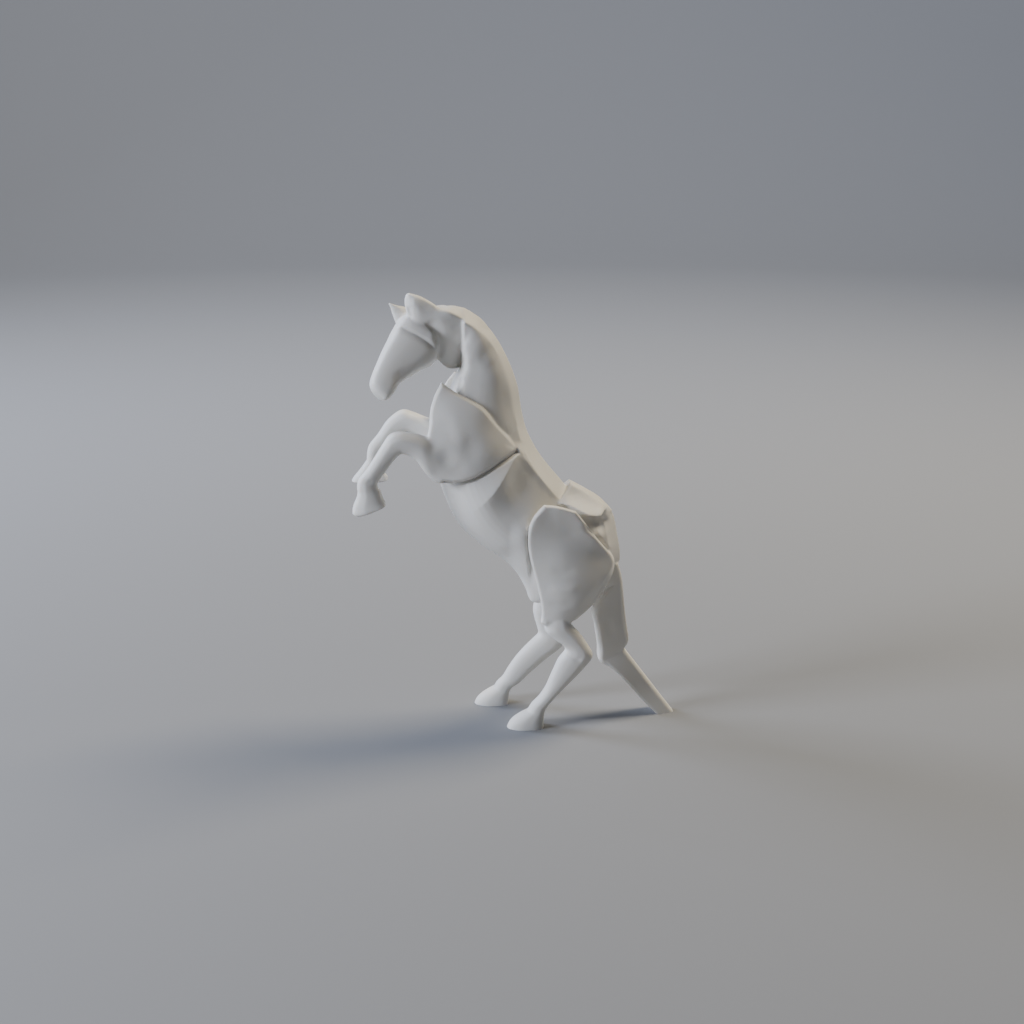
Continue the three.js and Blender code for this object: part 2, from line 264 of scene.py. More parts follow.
def plate(runs, heights, thickness, rim, side, shift=lambda x, z: (0, 0)):
    """A shell cut to an outline in x and z, chamfered by `rim`, and sprung over its heights above
    the middle plane. A side of -1 is the figure's left."""
    height = sprung(heights)
    shell = bmesh.new()
    corners = [shell.verts.new((x, 0, z)) for x, z in outline(runs)]
    face = bmesh.ops.contextual_create(shell, geom=corners)["faces"]
    back = bmesh.ops.extrude_face_region(shell, geom=face)["geom"]
    moved = [item for item in back if isinstance(item, bmesh.types.BMVert)]
    bmesh.ops.translate(shell, verts=moved, vec=(0, thickness, 0))
    bmesh.ops.recalc_face_normals(shell, faces=shell.faces)
    front_rim = [e for e in shell.edges if all(abs(v.co.y) < 1e-6 for v in e.verts)]
    bmesh.ops.bevel(
        shell, geom=front_rim, offset=rim, segments=1, profile=0.5, affect="EDGES", material=-1
    )
    for axis in (0, 2):
        spots = [vert.co[axis] for vert in shell.verts]
        normal = Vector((1, 0, 0)) if axis == 0 else Vector((0, 0, 1))
        cut = min(spots) + GRID
        while cut < max(spots):
            bmesh.ops.bisect_plane(
                shell, geom=[*shell.verts, *shell.edges, *shell.faces],
                plane_co=normal * cut, plane_no=normal,
            )
            cut += GRID
    for vert in shell.verts:
        x, depth, z = vert.co
        step = shift(x, z)
        vert.co = (x + step[0], side * (height(x, z) - depth), z + step[1])
    return shell


EAR_EDGE = [
    [(-36.4, 152.9), (-35.2, 153), (-31.8, 152), (-28.4, 150.1), (-25.2, 148)],
    [(-25.2, 148), (-21, 145.8)],
    [(-21, 145.4), (-19.6, 142.6), (-24, 140.4), (-29.2, 141.4), (-32.4, 142.2), (-34.6, 143)],
    [(-34.6, 143), (-36.2, 145.6), (-37.1, 149), (-37, 151.6), (-36.4, 152.9)],
]
EAR_HEIGHTS = [
    (-36.2, 152.8, 5), (-37, 150.6, 4.4), (-36.2, 146.6, 4.8), (-34.8, 150.3, 6.8),
    (-33.6, 147.2, 7), (-32.8, 144.8, 6.8), (-35, 144.6, 5.2), (-34.4, 152.4, 5.8),
    (-31.8, 152, 5.7), (-28.4, 150, 5.8), (-25.2, 148, 6), (-30.6, 147.6, 6.9),
    (-27, 145.4, 6.8), (-22, 145, 6.4), (-19.6, 143, 6), (-24, 140.4, 3.6), (-29.2, 141.4, 4.4),
    (-28, 143.6, 6.2), (-32.4, 142.2, 5), (-34.6, 143, 4.6),
]
forms.append(plate(EAR_EDGE, EAR_HEIGHTS, thickness=3, rim=0.5, side=-1))
EAR_HOLLOW = [(-36, 149.4), (-35.4, 146.4), (-34.6, 144.6)]
stroke(EAR_HOLLOW, -0.5, 1.2, sides=(-1,))
flows.append((-30.6, 143.2, 5, -1, 3))
flows.append((-23.6, 145, 6, -1, 3))


# ---------------------------------------------------------------------------
# Head and right ear: a long solid wedge with flat cheeks, a strap-like fold over each jaw, and
# no eye, nostril or mouth. It is drawn straight ahead from the poll, then leaned over and turned
# to the figure's left.

HEAD_YAW = math.radians(26)
HEAD_ROLL = math.radians(12)
POLL = Vector((-33, 0, 144))
SKULL = [
    [(1, 0), (0.94, 0.42), (0.6, 0.72), (0.1, 0.92), (-0.4, 1), (-0.8, 0.78), (-1, 0.3)],
    [(-1, 0.3), (-1, 0)],
]
LEAF = [
    [(1, 0), (0.5, 0.85), (-0.2, 1)],
    [(-0.2, 1), (-0.8, 0.6), (-1, 0)],
]
head_turn = Matrix.Rotation(HEAD_YAW, 4, "Z") @ Matrix.Rotation(-HEAD_ROLL, 4, "X")
head_place = Matrix.Translation(POLL) @ head_turn

head = [
    (-2, 3, 7, -5, 6, 0),
    (-5.6, 0.6, 6.5, -9, 7.2, 0),
    (-8.9, -3, 5.8, -13.6, 7.4, 0),
    (-11.6, -6.8, 2.5, -16.6, 6.8, 0),
    (-14, -10, -2, -18.3, 5.8, 0),
    (-16.2, -13.4, -6.5, -20.1, 5, 0),
    (-18.4, -16.9, -10, -21.8, 4.5, 0),
    (-20, -20.4, -12.2, -24.4, 4.3, 0),
    (-19.6, -23, -14.6, -26.4, 3.7, 0),
    (-18, -25.2, -16.2, -26.8, 2.4, 0),
]
right_ear = [
    (5, 1, -6.2, -1, 2.4, 4),
    (0, 4, -6.6, 2.4, 1.8, 5),
    (-4.6, 5.2, -7, 4.6, 1.2, 5),
    (-7.3, 6.2, -7.7, 6, 0.5, 5),
]
for form in (loft(head, SKULL), loft(right_ear, LEAF)):
    bmesh.ops.transform(form, matrix=head_place, verts=form.verts)
    forms.append(form)

JAW_FOLD = [(-9.2, -1.4), (-7, -3.4), (-4.2, -5.4), (-1.2, -7.7), (1.2, -10), (2.8, -12.4)]
stroke(JAW_FOLD, -0.8, 1.1, 2.4, crisp=True, place=head_place)
JAW_STRAP = [(-7, -1), (-2.6, -3.4), (0.6, -5.6), (2.4, -8.6)]
stroke(JAW_STRAP, 0.35, 2, place=head_place)
CHEEK_REAR = [(-0.8, -1.8), (0.9, -3.8), (2.2, -6), (3.3, -9.2), (3.7, -12.3), (3.2, -15)]
stroke(CHEEK_REAR, -1.8, 4, 0.5, crisp=True, place=head_place, fades=(0.8, 0.8))
CHIN_DENT = [(-9.4, -18), (-12, -19.4)]
stroke(CHIN_DENT, -0.4, 2.6, place=head_place)


# ---------------------------------------------------------------------------
# Shoulders: a thin shell of the print over each, with a free pointed tip beside the neck.
# Below, a groove parts it from the barrel, and in front it flows on into the top of the foreleg.
# A core ties each shell to the trunk. The right shell's tip lies further back than the left's.

SHOULDER_EDGE = [
    [(-25.2, 123.6), (-20.6, 120.2), (-15.8, 117.6), (-11, 114.4), (-6.2, 108.6), (2, 99.4)],
    [(2, 99.4), (-2.6, 97.2), (-7, 94.7), (-13.8, 91), (-20, 89.5)],
    [(-20, 89.5), (-26.4, 89.2)],
    [(-26.4, 89.2), (-30, 93.4), (-32, 100), (-30.6, 104.6)],
    [(-30.6, 104.6), (-29.6, 109), (-29.1, 114.4), (-27.4, 119.6), (-25.2, 123.6)],
]
SHOULDER_HEIGHTS = [
    (-25.2, 123.6, 12), (-20.6, 120.2, 12.4), (-15.8, 117.6, 12.6), (-11, 114.4, 12.4),
    (-6, 108.4, 11), (2, 99.4, 7.8), (-29.4, 112, 13.4), (-29, 106, 15.6), (-32, 100, 18),
    (-30, 94, 17.2), (-24, 113, 14.6), (-18, 110, 15.2), (-12, 107, 14.6), (-6, 102, 13.4),
    (-24, 104, 16.8), (-16, 101, 16.8), (-8, 98.4, 15.4), (-14, 92.4, 17.3), (-20, 90.4, 17.5),
    (-25.6, 91, 17), (-22, 96, 17.7), (-28, 98, 18.2), (-3, 97.6, 12.2),
]
SHELL_FOOT = 96         # the right shell is drawn back from this height up
SHELL_TIP = 123         # and by this height the most
TIP_BACK = 5.5          # how much further back the right shell's tip lies
TIP_DOWN = 0.2          # and how much lower


def right_shift(x, z):
    """The right shell is drawn back, from nothing at its foot to the most at its tip."""
    share = min(max((z - SHELL_FOOT) / (SHELL_TIP - SHELL_FOOT), 0), 1)
    return (TIP_BACK * share, -TIP_DOWN * share)


forms.append(plate(SHOULDER_EDGE, SHOULDER_HEIGHTS, thickness=2, rim=0.8, side=-1))
forms.append(plate(
    SHOULDER_EDGE, SHOULDER_HEIGHTS, thickness=2, rim=0.8, side=1, shift=right_shift
))

GROOVE = [
    (1.5, 99.1), (-2.5, 97), (-6.9, 94.7), (-10.7, 92.5), (-13.8, 90.9), (-17.5, 89.6),
    (-21.3, 89.4), (-26, 89.8),
]
stroke(GROOVE, -1.7, 1.1, 1.5, crisp=True, fades=(0.4, 0.8))
SHOULDER_WAVES = [
    ([(-24.6, 117), (-24.1, 110), (-24.6, 104)], -0.22, 4),
    ([(-20, 111), (-19.4, 105), (-21, 100)], 0.26, 4),
    ([(-15.4, 108), (-15.2, 102), (-16.8, 95)], -0.18, 4.4),
    ([(-27.8, 101.6), (-24.6, 99), (-20.8, 95.4)], -0.65, 5),
]
for wave in SHOULDER_WAVES:
    stroke(*wave)
flows.append((-30, 97.5, 9, -1, 9))
flows.append((-26.4, 92.6, 6, -1, 9))
flows.append((-26, 99, 7, 1, 9))
for side in (-1, 1):
    flows.append((2.2, 100, 2.6, side, 4))

CORE = [[(1, 0), (0.8, 0.7), (0.25, 1), (-0.35, 1), (-0.85, 0.7), (-1, 0)]]


def on_side(stations, side):
    """Stations that are given for the right side, for either side."""
    return [(*s[:5], s[5] * side, s[6] * side) for s in stations]


shoulder_core = [
    (-15, 114, -27, 113.5, 1.6, 10.2, 11.2),
    (-6, 107, -28, 107, 3, 8.8, 12.2),
    (-1, 100.5, -27, 99.8, 3.6, 7.4, 12.8),
    (-6, 96, -26, 93, 4, 11.4, 13),
    (-14, 93, -25, 91, 3.6, 13.5, 13.5),
]
for side in (-1, 1):
    forms.append(loft(on_side(shoulder_core, side), CORE))


# ---------------------------------------------------------------------------
# Haunches: a big domed shell of the print over each thigh, down to the knuckle of the stifle.
# It flares out at its top rim, swells in the middle and closes round the thigh below.
# A core joins each shell to the buttock, and the loin swells a little where it meets the rim.

HAUNCH_EDGE = [
    [(9.4, 81.4), (14.5, 80.7), (20.6, 78.6)],
    [(20.6, 78.6), (24.2, 73.8), (27.9, 68.6), (34, 61)],
    [(34, 61), (34.6, 57.4), (30.4, 50.6), (26, 44.4), (19.6, 38.6)],
    [(19.6, 38.6), (13, 36.6), (8.6, 38.6)],
    [(8.6, 38.6), (9, 43), (7.7, 50.7), (4.8, 62.2), (4, 70), (5.4, 76.4), (9.4, 81.4)],
]
HAUNCH_HEIGHTS = [
    (9.4, 81.4, 18.8), (14.5, 80.7, 18.6), (20.6, 78.6, 17.6), (24, 74, 16), (28, 68.6, 13.8),
    (34, 61, 10.4), (34.4, 57.4, 10.6), (30, 51, 13.8), (26, 45, 15), (20, 40, 16.2),
    (14, 38, 16.8), (9, 40, 16.2), (8, 50, 17), (5, 62, 17), (4.2, 70, 17.6), (5.4, 76, 18.4),
    (13, 73, 16.8), (19, 71, 15.6), (24, 67, 14.5), (10, 66, 17), (16, 63, 17), (23, 61.6, 15.4),
    (29, 61, 13), (14, 55, 17.9), (22, 55, 16.9), (28, 56, 14.2), (15, 47, 18.2), (22, 47, 17.2),
    (14, 42, 17.6),
]
for side in (-1, 1):
    forms.append(plate(HAUNCH_EDGE, HAUNCH_HEIGHTS, thickness=2.4, rim=0.6, side=side))

haunch_core = [
    (19, 77, 9, 77.5, 2, 10.4, 12.6),
    (23, 72, 6.5, 73, 3.2, 9.2, 12),
    (27.5, 66.5, 5.5, 67, 4, 7.6, 11.4),
    (34.6, 60.6, 6.2, 60, 4.6, 6.4, 11.2),
    (35, 55, 7.6, 53.5, 5.2, 8, 11.2),
    (31.4, 48.6, 9, 48.5, 5.2, 9.8, 11.6),
    (27.2, 43.4, 9.4, 43, 4.2, 11.2, 12.2),
    (21.6, 39, 9.8, 39, 3.2, 12.6, 12.6),
]
for side in (-1, 1):
    forms.append(loft(on_side(haunch_core, side), CORE))

HAUNCH_WAVES = [
    ([(34.4, 60), (31.4, 61), (27.8, 62), (24, 63)], -0.35, 4),
    ([(11, 58.4), (16, 57.4), (22, 58)], -0.2, 3),
    ([(10, 51.6), (16, 51), (23, 51.6)], 0.26, 2.8),
    ([(10, 46.4), (15, 45.8), (21, 46.4)], -0.24, 2.6),
]
for wave in HAUNCH_WAVES:
    stroke(*wave)
LOWER_RIM = [(33.4, 55), (30.2, 49.8), (26.2, 44.6), (22.2, 40.4)]
stroke(LOWER_RIM, -1.2, 3, 4)
KNUCKLE = [(9.2, 39.4), (11.4, 38.6)]
stroke(KNUCKLE, 0.6, 2)
UNDER_KNUCKLE = [(8.4, 36.8), (11.8, 35.7)]
stroke(UNDER_KNUCKLE, -0.5, 1.3)
FRONT_SWELL = [(3.6, 78), (3, 70), (3.4, 63), (4.2, 56), (5.6, 49)]
stroke(FRONT_SWELL, 1.4, 1.3, 6)


# ---------------------------------------------------------------------------
# Croup: the saddle-shaped cap over the rump, a thick middle with a thin printed rim to each side.
# It stands proud of the loin in front, and its rims overhang a pocket above each haunch.

SADDLE = [
    [(1, 0), (0.78, 0.4), (0.2, 0.8), (-0.4, 1)],
    [(-0.4, 1), (-0.7, 0.96)],
    [(-0.7, 0.96), (-1, 0.5), (-1, 0)],
]

croup = [
    (20.4, 85.7, 14.6, 78, 7, 0),
    (25.3, 83.3, 19.5, 75.6, 9, 0),
    (30, 80.4, 26, 73.4, 8.8, 0),
    (33.2, 77.3, 30, 73.2, 6.4, 0),
    (35.2, 75, 32.4, 70.6, 3, 0),
]
forms.append(loft(croup, SADDLE))

CAP_EDGE = [
    [(20.1, 85.7), (15.1, 80)],
    [(15.1, 80), (18.8, 79.2), (23, 77.2), (26.4, 75.5), (29.4, 74.8), (31.6, 76)],
    [(31.6, 76), (32.8, 76.2), (33.4, 77)],
    [(33.4, 77), (29, 80.2), (25, 83), (20.1, 85.7)],
]
CAP_HEIGHTS = [
    (19.9, 86.2, 3.6), (15.1, 80, 10), (18.8, 79.2, 11.6), (23, 77.2, 12.8), (26.4, 75.5, 13.4),
    (29.4, 74.8, 12), (31.6, 76, 9), (33.4, 77, 4), (32.8, 76.2, 5.4), (29, 80.2, 4.6),
    (25, 83, 3.8), (21, 81.4, 7), (26, 79, 7.6), (29.6, 77.4, 7.8),
]
for side in (-1, 1):
    forms.append(plate(CAP_EDGE, CAP_HEIGHTS, thickness=1.6, rim=0.5, side=side))
    flows.append((33.6, 75.8, 5, side, 1.5))

POCKET_RIDGE = [(24.8, 76), (28.6, 70.3), (32.2, 65), (35.4, 61.2)]
stroke(POCKET_RIDGE, 0.6, 2.6, 2, crisp=True)
POCKET = [(23.4, 75.8), (27, 73.2), (30.6, 71), (33, 67.8)]
stroke(POCKET, -3.3, 4)


# ---------------------------------------------------------------------------
# Forelegs: solid, and bent under at the knee, with no joint in them. Each flows out of its
# shoulder and ends in a small flared hoof. The left one is drawn up less than the right.

ARM = [
    [(1, 0), (0.84, 0.62), (0.5, 0.94), (0.1, 1), (-0.6, 0.88), (-0.94, 0.5), (-1, 0)],
]
SHIN = [
    [(1, 0), (0.8, 0.7), (0.3, 1)],
    [(0.3, 1), (-0.1, 0.92), (-0.5, 0.74), (-0.86, 0.44), (-1, 0)],
]
HOOF = [
    [(1, 0), (0.86, 0.55), (0.35, 0.95), (-0.2, 1), (-0.6, 0.94), (-0.88, 0.76)],
    [(-0.88, 0.76), (-1, 0)],
]

left_arm = [
    (-18, 102, -18, 94, 3.4, -13.4),
    (-25.5, 103.6, -25.6, 88.6, 4.2, -12.8),
    (-30.6, 105.6, -30.5, 92, 4.4, -14.2),
    (-35, 106.9, -34.6, 97.6, 4.2, -14.6),
    (-40, 107.6, -38.6, 99.8, 4, -15),
    (-43.2, 106.6, -40.4, 99, 3.9, -15),
    (-45.6, 103.4, -42, 97.3, 3.6, -15),
    (-48.1, 99.4, -44.7, 93.6, 3.3, -15),
    (-51.4, 94.4, -47.3, 89.9, 3.2, -15),
    (-54.1, 91, -47.3, 88.2, 3.2, -15),
    (-54.6, 87.6, -46.2, 86.6, 3.4, -15),
]
left_fore_hoof = [
    (-54.3, 88.2, -46.5, 87.4, 3.2, -15),
    (-54.6, 85.4, -45.9, 85.4, 3.7, -15),
    (-56, 81.8, -44.9, 82.9, 4.2, -15),
    (-56.2, 79, -44.6, 82.2, 4.4, -15),
    (-54.6, 78.2, -44.7, 82, 4.2, -15),
]
right_arm = [
    (-18, 104, -18, 95, 3, 12),
    (-28.6, 106.7, -27, 96, 4.8, 12),
    (-34, 109, -32.6, 100.4, 4.4, 11.5),
    (-38.3, 110, -37, 102.2, 4.1, 11),
    (-43.2, 106.6, -40, 100.6, 3.8, 11),
    (-46.7, 101.6, -43, 96.6, 3.4, 11),
    (-50, 97.4, -45.8, 92.6, 3.3, 11),
    (-50.8, 93.2, -46, 89.8, 3.3, 11),
    (-50.6, 91, -45.6, 88.8, 3.4, 11),
]
right_fore_hoof = [
    (-51, 92, -45.4, 89, 3.2, 11),
    (-53, 89.2, -44.6, 87.6, 3.8, 11),
    (-55.6, 86, -43.4, 86, 4.4, 11),
    (-56.4, 84.4, -43.4, 84.8, 4.5, 11),
]
forms.append(loft(left_arm, ARM, SHIN))
forms.append(loft(left_fore_hoof, SHIN, HOOF))
forms.append(loft(right_arm, ARM, SHIN))
forms.append(loft(right_fore_hoof, SHIN, HOOF))
FETLOCK_FOLD = [(-53, 90.4), (-50.4, 90.8), (-48, 90.3)]
stroke(FETLOCK_FOLD, -0.25, 1.6, sides=(-1,))


# ---------------------------------------------------------------------------
# Hind legs: solid gaskin, hock and cannon, with a crisp edge down the back of the cannon.
# The hooves reach a little under the table here, and are cut off flat with the tail at the end,
# because the figure stands on them. The left leg stands behind the right.

CANNON = [
    [(1, 0), (0.8, 0.62), (0.3, 0.96), (-0.35, 0.98)],
    [(-0.35, 0.98), (-0.66, 0.82), (-0.9, 0.54), (-1, 0)],
]
SPREAD = 13.5           # how far each leg stands from the middle plane
UNDER = -1.5            # how far below the table the feet are lofted before the cut

left_leg = [
    (12, 42, 18, 43, 3.4, -13),
    (10, 36, 19.6, 37.6, 4.6, -SPREAD),
    (13, 32.4, 22.7, 33.9, 4.6, -SPREAD),
    (16.5, 29.9, 25.2, 30.2, 4.4, -SPREAD),
    (17.2, 28, 27.1, 26.8, 4.3, -SPREAD),
    (15, 25.2, 26.6, 24.4, 4.2, -SPREAD),
    (13.6, 22.3, 23.8, 21, 4, -SPREAD),
    (12, 18.5, 20.2, 17.2, 3.8, -SPREAD),
    (10.3, 14.5, 16, 13, 3.6, -SPREAD),
    (8, 11, 13, 9.7, 3.6, -SPREAD),
    (5.2, 8, 10.7, 6.8, 3.7, -SPREAD),
    (3.4, 4.6, 10, 4, 4, -SPREAD),
]
left_hoof = [
    (3.9, 6, 10.2, 5.8, 3.7, -SPREAD),
    (0.6, 4.4, 10.1, 4, 4.3, -SPREAD),
    (-2, 2.4, 10, 2.2, 4.7, -SPREAD),
    (-3.2, 0, 10, 0, 4.8, -SPREAD),
    (-3.2, UNDER, 10, UNDER, 4.8, -SPREAD),
]
right_leg = [
    (10, 43, 17, 44, 3.4, 13),
    (8.4, 36, 18.6, 38, 4.6, SPREAD),
    (9, 31.5, 20, 33.4, 4.7, SPREAD),
    (10, 28, 20.8, 29, 4.4, SPREAD),
    (10.2, 26, 20.6, 24.5, 4.3, SPREAD),
    (8, 23.8, 18.9, 20.8, 4.2, SPREAD),
    (5, 20.8, 14.6, 17.4, 4, SPREAD),
    (2.2, 17.6, 11, 14.4, 3.8, SPREAD),
    (-0.6, 13.6, 7.3, 11.1, 3.6, SPREAD),
    (-2.7, 10, 3.8, 7.8, 3.6, SPREAD),
    (-5, 7.6, 0.6, 5.6, 3.7, SPREAD),
    (-6.4, 4.6, -0.2, 3.8, 4, SPREAD),
]
right_hoof = [
    (-6, 6, -0.2, 5, 3.7, SPREAD),
    (-9.6, 4, -0.2, 3.6, 4.3, SPREAD),
    (-12, 2, -0.3, 1.8, 4.7, SPREAD),
    (-13, 0, -0.4, 0, 4.8, SPREAD),
    (-13, UNDER, -0.4, UNDER, 4.8, SPREAD),
]
forms.append(loft(left_leg, CANNON))
forms.append(loft(left_hoof, CANNON, HOOF))
forms.append(loft(right_leg, CANNON))
forms.append(loft(right_hoof, CANNON, HOOF))

HOCK_FOLD = [(15.9, 29.7), (18.4, 27.1), (21, 25.8), (23.4, 25.4)]
stroke(HOCK_FOLD, -0.35, 1.3, sides=(-1,))
stroke([(x - 6.5, z + 1.4) for x, z in HOCK_FOLD], -0.35, 1.3, sides=(1,))


# ---------------------------------------------------------------------------
# Tail: a box-shaped upper length that is part of the print too, bent at a soft fold into a strut.
# The strut's end is the third foot, which keeps the rearing figure from falling back.

BOXED = [
    [(1, 0), (0.98, 0.46)],
    [(0.98, 0.46), (0.74, 0.66)],
    [(0.74, 0.66), (-0.76, 1)],
    [(-0.76, 1), (-0.97, 0.8)],
    [(-0.97, 0.8), (-1, 0)],
]

upper_tail = [
    (37.4, 56, 32, 54, 3.6, 0),
    (38.9, 50, 32.5, 46.5, 4.2, 0),
    (39.9, 40, 28.5, 38.6, 4.5, 0),
    (40.7, 33.7, 29.3, 32.5, 4.5, 0),
    (41.5, 27.6, 30.4, 25, 4.5, 0),
    (40, 24.4, 30.7, 20.2, 4.3, 0),
    (39, 22.6, 34, 18, 4, 0),
]
strut = [
    (38, 27, 31, 22, 3.8, 0),
    (40.8, 23, 33.6, 18.6, 4.2, 0),
    (46, 16, 38.4, 14.2, 4.4, 0),
    (52.7, 7, 45.6, 6, 4.4, 0),
    (58, 0, 51.2, 0, 4.4, 0),
    (59.5, 1.3 * UNDER, 52.6, 1.3 * UNDER, 4.4, 0),
]
forms.append(loft(upper_tail, BOXED))
forms.append(loft(strut, BOXED))
TAIL_DENT = [(33.5, 37), (34.6, 29)]
stroke(TAIL_DENT, -0.3, 2.6)
TAIL_ROOT = [(28.6, 39.4), (31, 43.4), (33.6, 46.8), (36.4, 49)]
stroke(TAIL_ROOT, -1.1, 3, 0.7, crisp=True)


# ---------------------------------------------------------------------------
# The print: laser-sintered out of powder in one piece, with no seam and no fixing anywhere.
# All forms are fused into one skin, softened as a sintered surface is, marked with the strokes,
# and cut off level where the figure stands.

VOXEL = 0.34            # grid that the forms are fused on
SOFTEN_ROUNDS = 3       # smoothing passes, which round every edge by about a third of a millimetre
FLOW_ROUNDS = 100       # passes where forms flow into each other
MOST_TRIANGLES = 190_000

together = bpy.data.meshes.new("horse_print")
whole = bmesh.new()
for form in forms:
    bmesh.ops.recalc_face_normals(form, faces=form.faces)
    part = bpy.data.meshes.new("form")
    form.to_mesh(part)
    form.free()
    whole.from_mesh(part)
    bpy.data.meshes.remove(part)
whole.to_mesh(together)
whole.free()
horse = bpy.data.objects.new("horse_print", together)
bpy.context.scene.collection.objects.link(horse)


def apply_modifiers(piece):
    """Replaces a piece's mesh by what its modifiers make of it."""
    graph = bpy.context.evaluated_depsgraph_get()
    made = bpy.data.meshes.new_from_object(piece.evaluated_get(graph))
    piece.modifiers.clear()
    piece.data = made


fuse = horse.modifiers.new("fuse", "REMESH")
fuse.mode = "VOXEL"
fuse.voxel_size = VOXEL
apply_modifiers(horse)

soften = horse.modifiers.new("soften", "SMOOTH")
soften.factor = 0.5
soften.iterations = SOFTEN_ROUNDS
apply_modifiers(horse)


def read_points(skin, what):
    """One row of three numbers for each point of a skin: its place or its normal."""
    values = np.empty(len(skin.vertices) * 3)
    skin.vertices.foreach_get(what, values)
    return values.reshape(-1, 3)


spots = read_points(horse.data, "co")
touched = np.zeros(len(spots))
for x, z, radius, side, least in flows:
    far = np.hypot(spots[:, 0] - x, spots[:, 2] - z) / radius
    spot_share = np.where(spots[:, 1] * side > least, np.clip(2 - 2 * far, 0, 1), 0)
    touched = np.maximum(touched, spot_share)
flow_group = horse.vertex_groups.new(name="flow")
for number in np.nonzero(touched)[0]:
    flow_group.add([int(number)], touched[number], "REPLACE")
flow = horse.modifiers.new("flow", "SMOOTH")
flow.factor = 0.5
flow.iterations = FLOW_ROUNDS
flow.vertex_group = "flow"
apply_modifiers(horse)
horse.vertex_groups.clear()


def carve(spots, facings, line, rise, left, right, sides, crisp, place, fades):
    """Moves the points of a skin sideways along one stroke."""
    line = np.array(line, float)
    runs = np.diff(line, axis=0)
    lengths = np.hypot(*runs.T)
    starts = np.cumsum([0, *lengths[:-1]])
    turn = np.array(place.to_3x3()) if place else np.eye(3)
    base = np.array(place.translation) if place else np.zeros(3)
    local = (spots - base) @ turn
    widest = max(left, right)
    close = np.nonzero(np.all(
        (local[:, ::2] > line.min(0) - widest) & (local[:, ::2] < line.max(0) + widest), axis=1
    ))[0]
    local = local[close]
    facing = (facings[close] @ turn)[:, 1]
    near = np.full(len(close), 1e9)
    bearing = np.zeros(len(close))
    travelled = np.zeros(len(close))
    for start, run, length, begun in zip(line, runs, lengths, starts):
        share = np.clip((local[:, ::2] - start) @ run / length ** 2, 0, 1)
        off = local[:, ::2] - start - share[:, None] * run
        distance = np.hypot(off[:, 0], off[:, 1])
        closer = distance < near
        near[closer] = distance[closer]
        across = (run[0] * off[:, 1] - run[1] * off[:, 0]) / (length * distance + 1e-9)
        bearing[closer] = across[closer]
        travelled[closer] = (begun + share * length)[closer]
    reach = (left + right) / 2 + bearing * (left - right) / 2
    share = np.clip(1 - near / reach, 0, 1)
    share = share ** 1.5 if crisp else share ** 2 * (3 - 2 * share)
    whole_length = sum(lengths)
    begin, end = (min(fade * widest, whole_length / 2) for fade in fades)
    ends = np.clip(np.minimum(travelled / begin, (whole_length - travelled) / end), 0, 1)
    stub = max(1 - whole_length / (3 * widest), 0)
    share = share * (stub + (1 - stub) * ends ** 2 * (3 - 2 * ends))
    for side in sides:
        faced = np.where(local[:, 1] * side > -1, np.clip(1.5 * side * facing, 0, 1), 0)
        local[:, 1] += side * rise * share * faced
    spots[close] = local @ turn.T + base


spots = read_points(horse.data, "co")
facings = read_points(horse.data, "normal")
for drawn in strokes:
    carve(spots, facings, *drawn)
horse.data.vertices.foreach_set("co", spots.ravel())
horse.data.update()

thin = horse.modifiers.new("thin", "DECIMATE")
thin.ratio = min(1, MOST_TRIANGLES / (2 * len(horse.data.polygons)))
apply_modifiers(horse)

print_skin = bmesh.new()
print_skin.from_mesh(horse.data)
bmesh.ops.bisect_plane(
    print_skin, geom=[*print_skin.verts, *print_skin.edges, *print_skin.faces],
    plane_co=(0, 0, 0), plane_no=(0, 0, 1), clear_inner=True,
)
sole_edges = [edge for edge in print_skin.edges if edge.is_boundary]
for edge in sole_edges:
    edge.smooth = False
bmesh.ops.holes_fill(print_skin, edges=sole_edges, sides=0)
low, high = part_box("horse")
spots = np.array([v.co for v in print_skin.verts]) * MM
middle = (spots.min(0) + spots.max(0)) / 2
slide = Vector(((low.x + high.x) / 2 - middle[0], (low.y + high.y) / 2 - middle[1], 0))
bmesh.ops.scale(print_skin, vec=(MM, MM, MM), verts=print_skin.verts)
bmesh.ops.translate(print_skin, vec=slide, verts=print_skin.verts)
bmesh.ops.recalc_face_normals(print_skin, faces=print_skin.faces)
for face in print_skin.faces:
    face.smooth = True
print_skin.to_mesh(horse.data)
print_skin.free()

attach(horse, "root")
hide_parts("horse")


# ---------------------------------------------------------------------------
# Laser-sintered white nylon, straight from the powder bed and not dyed or polished.
# It looks matt and slightly milky: light falls off softly over it with no glint, thin rims glow
# a little, and a fine powder grain takes the last shine away.

GRAIN = 0.5             # powder grain. The real one, near 0.1 mm, is too fine to show
GRAIN_DEPTH = 0.05
CLOUD = 14              # size of the faint clouds in the white
GLOW_DEPTH = 1.2        # how far light creeps under the surface


def linear(hex_colour):
    """An sRGB hex colour as the linear values that Blender mixes."""
    values = [int(hex_colour[n:n + 2], 16) / 255 for n in (1, 3, 5)]
    bent = [v / 12.92 if v <= 0.04045 else ((v + 0.055) / 1.055) ** 2.4 for v in values]
    return (*bent, 1)


def add_node(material, kind, **inputs):
    """A node whose inputs are values or other nodes' sockets."""
    node = material.node_tree.nodes.new(kind)
    for name, value in inputs.items():
        socket = node.inputs[name.replace("_", " ")]
        if isinstance(value, bpy.types.NodeSocket):
            material.node_tree.links.new(value, socket)
        else:
            socket.default_value = value
    return node


